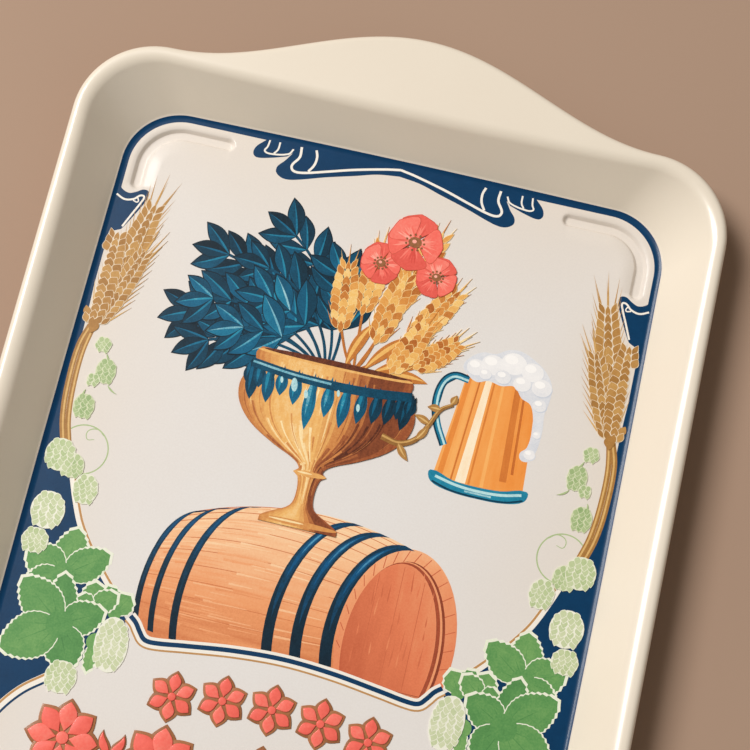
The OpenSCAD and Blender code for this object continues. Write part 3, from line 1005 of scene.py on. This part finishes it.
def barrel_head():
    """The barrel's end: the staves' rim, the disc set inside it, and the disc's boards."""
    dice = random.Random(31)
    x, y, wide, tall = BARREL_HEAD
    rim = arc(*BARREL_HEAD, 208, -26, 36) + [(61, -237.6), (40, -236.4), (24, -235.2)]
    yield rim, lambda px, py: 0.66 + 0.16 * (py - y) / tall - 0.1 * (px > x + 16)
    for k in range(19):
        a = radians(-20 + 11.5 * k)
        inner = (DISC_X + 20.4 * cos(a), DISC_Y + 37.4 * sin(a))
        outer = (x + (wide - 0.6) * cos(a), y + (tall - 0.8) * sin(a))
        yield band([inner, outer], 0.4, steps=2), 0.34

    def disc_shade(px, py):
        return 0.44 + 0.12 * (py - DISC_Y) / 37 + 0.12 * (px - 42) / 20

    for grow, slide, tone in ((1.7, 2.4, 0.1), (1.4, 1.5, 0.7), (1.0, 0.9, 0.16), (0.2, 0, disc_shade)):
        yield arc(DISC_X + slide, DISC_Y, DISC_W + grow, DISC_H + grow, -28, 208, 36), tone
    for board in (32, 42, 52):
        joint = [(board, DISC_Y + disc_half(board, 35.6)), (board, -235)]
        yield band(joint, 0.3, steps=2), 0.34
    for k in range(40):
        px = dice.uniform(27, 58)
        py = dice.uniform(-232, DISC_Y + disc_half(px, 33))
        grain = blade(px, py, dice.uniform(-4, 4), dice.uniform(4, 11), 0.7, full=0.5, steps=4)
        yield grain, dice.choice((0.36, 0.4, 0.5, 0.56))


# x of each hoop and its width
HOOPS = [(-50, 3.3), (-41, 3.3), (-29, 4.0), (16, 4.6), (28, 4.6), (40, 4.8)]
# Each light on a hoop: its place and half width as shares of the hoop's width, its
# first and last angle, and its tone on the hoops at the right and at the left
GLINTS = [(0.5, 0.4, 0, 84, 0.5, 0.44), (0.52, 0.26, 22, 76, 0.66, 0.54),
          (0.54, 0.1, 38, 66, 0.86, 0.66)]


def barrel_hoops():
    """Iron hoops with a soft blue light along their upper part."""
    for x, wide in HOOPS:
        low = -24 if x < 0 else -20
        strip = barrel_arc(x, low, 90) + barrel_arc(x + wide, low, 90)[::-1]
        yield strip, lambda px, py: 0.24 + 0.24 * (py - BARREL_Y) / 48
        for middle, half, start, end, right_tone, left_tone in GLINTS:
            line = barrel_arc(x + wide * middle, start, end)
            last = len(line) - 1
            swell = [wide * half * sin(pi * k / last) for k in range(last + 1)]
            outer = [(px + w, py) for (px, py), w in zip(line, swell)]
            inner = [(px - w, py) for (px, py), w in zip(line[1:-1], swell[1:-1])]
            yield outer + inner[::-1], right_tone if x > 0 else left_tone


# ---- Footed vase with its bouquet ----

# x of the vase's axis, its flutes, the drips of its glaze, and the leaves' spacing on a stem
VASE_X = -8
FLUTES = 20
DRIPS = 15
LEAF_SPACING = 8.5
# y of each ring of the vase and its half width there
VASE_PROFILE = [(-100, 34), (-103, 36), (-107, 35.5), (-112, 38), (-119, 40), (-127, 38), (-135, 31),
                (-142, 19), (-146.5, 9), (-150, 5.4), (-152, 7), (-154, 5), (-161, 4), (-167, 5.4),
                (-171, 12), (-174, 17), (-176.5, 17.5)]


def vase_rows():
    """The vase's profile made smooth, as half widths and heights."""
    return smooth([(half, y) for y, half in VASE_PROFILE], closed=False, steps=4)


def vase_sector(first, last):
    """The part of the vase's face between two shares of its half width."""
    rows = vase_rows()
    left = [(VASE_X + first * half, y) for half, y in rows]
    right = [(VASE_X + last * half, y) for half, y in rows]
    return left + right[::-1]


def vase_shade(share):
    """Brightness across the round body: light at the upper left, dark at both edges."""
    return 0.14 + 0.66 * max(0, 1 - ((share + 0.34) / 0.86) ** 2) + 0.1 * (share > 0.86)


def vase():
    """The vase's round body in upright flutes, its brush strokes, and its rings."""
    dice = random.Random(5)
    yield vase_sector(-1, 1), 0.1
    edges = [sin(pi / 2 * (2 * k / FLUTES - 1)) for k in range(FLUTES + 1)]
    for first, last in zip(edges, edges[1:]):
        yield vase_sector(first, last), vase_shade((first + last) / 2)
    for k in range(120):
        share = dice.uniform(-0.94, 0.94)
        row = dice.randrange(4, 44)
        rows = vase_rows()[row:row + dice.randrange(6, 12)]
        stroke = [(VASE_X + share * half, y) for half, y in rows]
        if len(stroke) > 3:
            shade = vase_shade(share) + dice.choice((-0.22, -0.14, 0.14, 0.24))
            mark = band(stroke[::2], dice.uniform(0.5, 1.3), steps=2, end=0.25)
            yield mark, min(0.98, max(0.02, shade))
    for y, half, tall, tone in ((-101.4, 35.6, 1.6, 0.72), (-152, 7.4, 1.2, 0.66),
                                (-174.4, 17.4, 1.3, 0.55)):
        yield oval(VASE_X, y, half, tall, steps=36), tone
        glint = oval(VASE_X - half * 0.3, y + 0.2, half * 0.45, tall * 0.35, steps=20)
        yield glint, 0.96
    yield oval(VASE_X, -100.6, 33, 1.3, steps=36), 0.04


def vase_glaze():
    """Blue glaze that has run down from the vase's shoulder in drips."""
    dice = random.Random(8)
    for k in range(DRIPS):
        share = sin(pi / 2 * 0.94 * (2 * k / (DRIPS - 1) - 1))
        x = VASE_X + share * 37
        shade = 0.12 + 0.42 * max(0, 1 - ((share + 0.2) / 0.9) ** 2)
        length = dice.uniform(15, 26) * (1.1 - 0.4 * abs(share))
        curl = -8 * share
        yield from [
            (blade(x, -106.6, 180, length, 5.6, curl, full=1.25, steps=12), shade),
            (blade(x - 0.8, -108, 180, length * 0.72, 1.5, curl), shade + 0.24),
            (blade(x + 1.4, -107.4, 180, length * 0.6, 1.2, curl), shade - 0.1)]
    collar = [(VASE_X + x, y) for x, y in ((-36.4, -108), (-18, -110), (0, -110.6), (18, -110),
                                           (36.4, -108))]
    yield band(collar, 4.2), 0.3
    yield band(collar[:3], 1.0, shift=0.5), 0.85
    for x, y, size in ((-24, -114, 3.2), (-18, -117, 2), (-4, -113.5, 1.6), (6, -118, 1.8),
                       (-30, -113, 1.5)):
        yield oval(x, y, size * 0.45, size, turn=12, steps=12), 0.98


def spray(turn, length, curl, shade, dice):
    """An arching stem from the vase's mouth with pairs of broad pointed leaves and one at its tip."""
    pairs = round(length / LEAF_SPACING)
    stem = [Vector((VASE_X - 3 - 0.12 * turn, -101.5))]
    lean = turn
    leaves = []
    for k in range(pairs):
        a = radians(90 + lean)
        stem.append(stem[-1] + Vector((cos(a), sin(a))) * length / pairs)
        lean += curl / pairs
        size = 20 - 6 * abs((k + 1) / pairs - 0.45)
        # The first stretch of the stem is bare
        for side in (-1, 1) if k > 0 else ():
            angle = lean + side * dice.uniform(40, 54)
            leaves.append((stem[-1], angle, size * dice.uniform(0.9, 1.1), -12 * side))
    leaves.append((stem[-1], lean, 17, 10))
    yield band([tuple(point) for point in stem], 1.3), 0.3
    for place, angle, size, bow in leaves:
        tone = shade + dice.uniform(-0.1, 0.12)
        form = {"curl": bow, "full": 1.1, "steps": 12}
        wide = size * 0.42
        yield from [
            (blade(*place, angle, size + 0.5, wide, grow=0.35, **form), 0.0),
            (blade(*place, angle, size, wide, half="right", **form), tone),
            (blade(*place, angle, size, wide, half="left", **form), tone + 0.2),
            (blade(*place, angle, size * 0.94, 0.9, bow, full=0.6, steps=12), tone + 0.46)]


def vase_leaves():
    """Leafy sprays that fan out to the left and bow over."""
    dice = random.Random(2)
    sprays = [(4, 64, 52, 0.05), (58, 60, 50, 0.04), (30, 68, 52, 0.08), (72, 48, 46, 0.14),
              (16, 54, 64, 0.16), (46, 58, 58, 0.22), (-6, 42, 30, 0.12), (30, 38, 54, 0.3),
              (60, 36, 44, 0.26)]
    return [shape for form in sprays for shape in spray(*form, dice)]


def vase_ears():
    """Ears of barley that rise from the vase, with their stems and awns."""
    dice = random.Random(17)
    tones = (0.26, 0.36, 0.46, 0.56, 0.66, 0.78)
    heads = [((-2, -74), (0, -44)), ((22, -82), (37, -58)), ((12, -70), (24, -34)),
             ((7, -86), (13, -56)), ((-10, -84), (-13, -56)), ((27, -94), (42, -80)),
             ((17, -98), (27, -76))]
    foot = VASE_X + 8
    for (x, y), tip in heads:
        stem = [(foot, -102), ((foot + x) / 2, (y - 102) / 2 - 2), (x, y + 1)]
        yield band(stem, 1.1), 0.3
    for x, y, turn, length in ((4, -101, -32, 30), (8, -101, -58, 26), (-4, -101, -10, 26),
                               (12, -101, -76, 22)):
        yield blade(x, y, turn, length, 5.4, -26, full=1.0, steps=14), 0.34
        yield blade(x, y, turn + 2, length * 0.94, 1.8, -26, full=1.0, steps=14), 0.7
    for root, tip in heads:
        yield from ear(root, tip, 9.5, 8, dice, tones, awn=13)


# Each poppy: its middle, its size and its turn
POPPIES = [(1, -50, 9.5, 20), (27, -51, 9.5, -24), (14, -37, 13, 0)]
# Each petal: its turn, its length as a share of the flower's size, and its tone
PETALS = [(0, 1.05, 0.5), (180, 1.05, 0.46), (90, 0.98, 0.58), (-90, 0.98, 0.62), (40, 0.98, 0.66)]


def poppies():
    """Three poppies: ruffled petals round a dark heart."""
    dice = random.Random(6)
    for x, y, size, turn in POPPIES:
        for lean, length, shade in PETALS:
            reach = size * length
            angle = turn + lean + dice.uniform(-6, 6)
            yield from edged(x, y, angle, reach, size * 1.25, 0.32, shade, 0.3,
                             full=1.7, steps=20, teeth=0.25)
            for stroke in range(-3, 4):
                long = reach * dice.uniform(0.6, 0.86)
                line = blade(x, y, angle + stroke * 8, long, 0.8, full=1.3)
                yield line, shade + dice.choice((-0.08, 0.12, 0.2))
        yield oval(x, y, size * 0.24, size * 0.2, steps=16), 0.08
        for px, py in arc(x, y, size * 0.32, size * 0.29, 0, 360, 11)[:-1]:
            yield oval(px, py, 0.55, 0.55, steps=8), 0.02
        yield oval(x - 0.4, y + 0.4, size * 0.08, size * 0.07, steps=10), 0.9


def twig():
    """A brown twig from the vase to the mug's handle, with small leaves."""
    line = [(19, -128), (27, -129.5), (34, -126), (38.5, -118), (42, -110.5), (47, -107)]
    shapes = [(band(line, 3.0, end=0.5), 0.14), (band(line, 0.9, shift=0.4, end=0.5), 0.5)]
    for x, y, turn, length in ((27, -129.5, -150, 9), (34, -126, -40, 9), (38.5, -118, 60, 8),
                               (42, -110.5, 80, 6), (46, -107, -30, 5)):
        shapes.append((blade(x, y, turn, length, 3.4, 20, steps=12), 0.3))
        shapes.append((blade(x, y, turn, length * 0.8, 0.8, 20), 0.66))
    return shapes


# ---- Mug ----

def mug_beer():
    """Beer behind glass, with long bright and dark reflections."""
    body = [(50.3, -90), (48.4, -108), (46.6, -124), (44.8, -139.5), (55, -141.4), (65, -142),
            (76, -141.4), (85.2, -139.5), (84.4, -122), (83, -104), (80.5, -90)]
    yield body, lambda x, y: 0.5 - 0.1 * (x - 65) / 20
    top, foot = -92, -140.5
    # Each reflection: x of its left side at the top and at its lower end, its widths
    # there, its tone, and y of its lower end
    for top_x, low_x, top_w, low_w, tone, low in (
            (50.6, 46.2, 2.2, 2.6, 0.34, foot), (53.4, 50.2, 2.0, 2.2, 0.62, foot),
            (56.2, 52.6, 0.7, 0.8, 0.16, foot), (59.0, 55.0, 2.8, 4.6, 0.98, foot),
            (62.6, 60.6, 0.8, 0.9, 0.24, foot), (66.4, 66.0, 1.2, 1.6, 0.66, foot),
            (72.4, 74.0, 2.8, 3.2, 0.2, -136), (76.4, 78.4, 1.0, 1.2, 0.12, -132),
            (78.6, 81.4, 1.8, 2.0, 0.44, foot)):
        streak = [(top_x, top), (top_x + top_w, top), (low_x + low_w, low), (low_x, low)]
        yield streak, tone


def mug_glass():
    """The glass foot and the handle, blue-green with white glints."""
    handle = [(51.5, -94), (44.6, -93.6), (40.4, -98), (39.2, -107), (41.6, -116.4), (46.6, -125.6)]
    base = [(43.4, -137.6), (44.4, -142.6), (54, -145.4), (66, -146), (78, -145.4),
            (86.6, -142.6), (87, -138), (76, -140.2), (65, -140.8), (54, -140.2)]
    return [
        (band(handle, 3.4), 0.6), (band(handle, 0.8, shift=-1.4), 0.22),
        (band(handle, 1.0, shift=0.5), 0.98), (band(handle[1:4], 0.7, shift=1.5), 0.3),
        (smooth(base, steps=4), 0.66),
        (band([(45, -142.4), (54, -144.8), (66, -145.4), (78, -144.8), (86, -142.4)], 0.9), 0.24),
        (band([(46, -139.9), (56, -142), (66, -142.6), (76, -142), (85, -140)], 1.2), 0.99),
        (band([(60, -143.8), (72, -143.8)], 0.8), 0.9)]


def mug_foam():
    """Foam piled over the mug's mouth, and a run of it down the side."""
    head = [(50, -91.5), (47.6, -88), (50, -83.6), (55, -80.2), (61, -79.6), (66, -76.6), (72, -76),
            (79, -79), (84.6, -83), (88.4, -89), (88.6, -96), (87.6, -102), (88.2, -110), (87.4, -119),
            (85, -124.4), (81.4, -124.6), (80.4, -121.6), (83, -118.4), (83.6, -110), (82.6, -103.6),
            (80.4, -99), (76, -97), (72, -92.6), (66, -93.6), (60, -92.6), (55, -94.2)]
    yield smooth(head), 0.56
    bubbles = [(53.5, -87.6, 4.4, 0.74), (60.6, -85, 5.4, 0.8), (69.6, -82.4, 5.8, 0.84),
               (78.6, -84.4, 5, 0.78), (84, -90.6, 4.6, 0.7), (75, -90.6, 4, 0.72),
               (66, -89.4, 3.6, 0.66), (84.6, -98.6, 3.2, 0.64), (58, -89.8, 2.8, 0.7),
               (84.6, -121.4, 2.6, 0.74), (86, -112, 1.8, 0.7)]
    for x, y, size, tone in bubbles:
        yield oval(x + 0.4, y - 0.5, size, size * 0.86, steps=20), tone - 0.24
        yield oval(x, y, size, size * 0.86, steps=20), tone
        yield oval(x - size * 0.24, y + size * 0.3, size * 0.52, size * 0.36, steps=16), 1.0


# ---- Raised ornament ----

# Spacing of the flowers in the upper and the lower row
UPPER_PITCH, LOWER_PITCH = 21.5, 42
# Heights of the ornament's edge and of its face above the floor
EDGE_HEIGHT, FACE_HEIGHT = 0.45, 1.0


def palmette(x, y, size, petals):
    """A flower of pointed petals round a button; the edge is returned apart from the face."""
    edge, face = [], []
    for k in range(petals):
        turn = 360 * k / petals
        edge.append(blade(x, y, turn, size, size * 0.62, full=1.2, steps=14, grow=0.9))
        a = radians(90 + turn)
        root = (x + size * 0.16 * cos(a), y + size * 0.16 * sin(a))
        face.append(blade(*root, turn, size * 0.8, size * 0.5, full=1.2, steps=14))
    return edge, face + [oval(x, y, size * 0.17, size * 0.17, steps=20)]


def leaf_pair(x, y, size):
    """Two leaves that curl away from each other, between two flowers."""
    edge, face = [], []
    for side in (-1, 1):
        for turn, curl in ((62, -70), (118, 70)):
            form = (x, y, side * turn, size, size * 0.34, side * curl)
            edge.append(blade(*form, steps=14, grow=0.8))
            face.append(blade(*form, steps=14))
    return edge, face


def ornament_parts():
    """Flowers and leaves of the two rows, as their edges and their faces."""
    parts = []
    for k in range(-2, 3):
        parts.append(palmette(k * UPPER_PITCH, -255 - k * k, 10.4, 6))
        parts.append(palmette(k * LOWER_PITCH, k * k - 290, 19 - 1.5 * abs(k), 8))
    for k in (-1.5, -0.5, 0.5, 1.5):
        parts.append(leaf_pair(k * LOWER_PITCH, k * k - 290, 10))
    return [[line for part in parts for line in part[side]] for side in (0, 1)]


def raised(name, outlines, height, tone, finish):
    """Outlines pressed up from the floor by height, with rounded top edges."""
    shapes = [(line, tone + 0.07 * (k % 2)) for k, line in enumerate(outlines)]
    piece, _ = printed(name, LAYER, shapes, finish)
    edit_all(piece)
    bpy.ops.mesh.select_mode(type="FACE")
    bpy.ops.mesh.select_all(action="DESELECT")
    mesh = bmesh.from_edit_mesh(piece.data)
    for face in mesh.faces:
        face.select_set(face.normal.z > 0.9)
    bmesh.update_edit_mesh(piece.data)
    bpy.ops.transform.translate(value=(0, 0, height * MM))
    bpy.ops.mesh.bevel(offset=height * 0.45 * MM, segments=3, affect="EDGES", clamp_overlap=True)
    bpy.ops.mesh.select_mode(type="VERT")
    leave_edit()
    only(piece)
    bpy.ops.object.shade_smooth_by_angle(angle=radians(50))
    return piece


# ---- The tray ----

def build_tray():
    """Every piece of the tray, from the sheet up to the topmost ink."""
    cream = enamel()
    for piece, node in ((tray_pan(), "tray_pan"), (rolled_rim(), "rolled_rim")):
        piece.data.materials.append(cream.material)
        hand_in(piece, node, "cream_enamel")
    ground = base_coat()
    ground.data.materials.append(base_white().material)
    hand_in(ground, "print_ground", "ground_ink")
    inks = {name: ink(name, stops, **blotting) for name, (stops, blotting) in INKS.items()}
    tops = {}

    def lay(node, shapes, ink_name, *over):
        """Prints a node's shapes above the nodes that it lies over."""
        start = max((tops[under] for under in over), default=0) + 4 * LAYER
        piece, tops[node] = printed(node, start, list(shapes), inks[ink_name])
        hand_in(piece, node, SLOTS.get(ink_name, ink_name))

    line = border_line()
    line.data.attributes.new("tone", "FLOAT", "POINT")
    for value in line.data.attributes["tone"].data:
        value.value = NAVY
    line.data.materials.append(inks["navy_ink"].material)
    fields, tops["navy_border"] = printed("side_fields", 7 * LAYER, both_sides(side_field()),
                                          inks["navy_ink"])
    hand_in(joined([line, fields], "navy_border"), "navy_border", "navy_ink")

    ribbon = sorted(both_sides(ribbon_half()), key=lambda shape: shape[1])
    lay("ribbon_top", ribbon, "navy_ink", "navy_border")
    lay("ribbon_bottom", upended(ribbon), "navy_ink", "navy_border")
    lay("corner_hooks", both_sides(hook()), "navy_ink", "navy_border")
    lay("tendrils", both_sides(tendril()), "pale_green_ink")
    lay("barrel_staves", barrel_staves(), "barrel_ink")
    lay("barrel_head", barrel_head(), "barrel_head_ink", "barrel_staves")
    lay("barrel_hoops", barrel_hoops(), "hoop_ink", "barrel_staves")
    lay("scroll_line", scroll_line(), "navy_ink", "barrel_head", "barrel_hoops")
    for side, turn_over in (("left", list), ("right", mirrored)):
        lay("wheat_" + side, turn_over(wheat()), "gold_ink", "corner_hooks")
        lay("hop_leaves_" + side, turn_over(hop_leaves()), "leaf_ink", "barrel_staves")
        lay("hop_cones_" + side, turn_over(hop_cones()), "pale_green_ink",
            "wheat_" + side, "hop_leaves_" + side, "scroll_line")
    lay("vase_leaves", vase_leaves(), "teal_ink")
    lay("vase_ears", vase_ears(), "straw_ink", "vase_leaves")
    lay("vase", vase(), "vase_ink", "vase_ears", "barrel_hoops")
    lay("vase_glaze", vase_glaze(), "teal_ink", "vase")
    lay("poppies", poppies(), "red_ink", "vase_ears")
    lay("twig", twig(), "gold_ink", "vase_glaze")
    lay("mug_beer", mug_beer(), "amber_ink")
    lay("mug_glass", mug_glass(), "teal_ink", "mug_beer")
    lay("mug_foam", mug_foam(), "white_ink", "mug_glass")

    edges, faces = ornament_parts()
    edge = raised("ornament_edge", edges, EDGE_HEIGHT, 0.08, inks["red_ink"])
    face = raised("ornament_face", faces, FACE_HEIGHT, 0.56, inks["red_ink"])
    hand_in(joined([edge, face], "raised_ornament"), "raised_ornament", "red_ink")


# ---- Camera, lights and floor ----

def camera():
    """Seen from above and a little below the middle, turned a little clockwise."""
    bpy.ops.object.camera_add(location=(0.0403, -0.1130, 0.7609), rotation=(0.2347, -0.0138, 0.2253))
    seen = bpy.context.object
    seen.data.lens = 83.7
    seen.data.sensor_width = 36
    bpy.context.scene.camera = seen
    bpy.context.scene.view_settings.view_transform = "Standard"


def lamp(name, place, size, power, warmth):
    """A square soft light that faces the middle of the tray."""
    bpy.ops.object.light_add(type="AREA", location=place)
    light = bpy.context.object
    light.name = name
    light.data.size = size
    light.data.energy = power
    light.data.color = warmth
    light.rotation_euler = (Vector(place) * -1).to_track_quat("-Z", "Y").to_euler()


def studio():
    """One large window light from the left, a weaker one opposite, and pale surroundings."""
    lamp("window", (-1.6, 0.68, 2.3), 1.3, 86, (1.0, 0.985, 0.97))
    lamp("fill", (1.3, -0.9, 1.2), 1.6, 2.2, (0.93, 0.96, 1.0))
    world = bpy.data.worlds.new("pale_room")
    bpy.context.scene.world = world
    world.use_nodes = True
    world.node_tree.nodes["Background"].inputs[0].default_value = (1.0, 0.88, 0.72, 1.0)
    world.node_tree.nodes["Background"].inputs[1].default_value = 0.2
    bpy.ops.mesh.primitive_plane_add(size=20, location=(0, 0, 0))
    floor = bpy.context.object
    floor.name = "studio_floor"
    matt = Finish("studio_floor", Roughness=0.9)
    matt.colour(matt.mix(matt.noise(300), rgb(164, 136, 116), rgb(176, 148, 127)))
    floor.data.materials.append(matt.material)


camera()
build_tray()
studio()
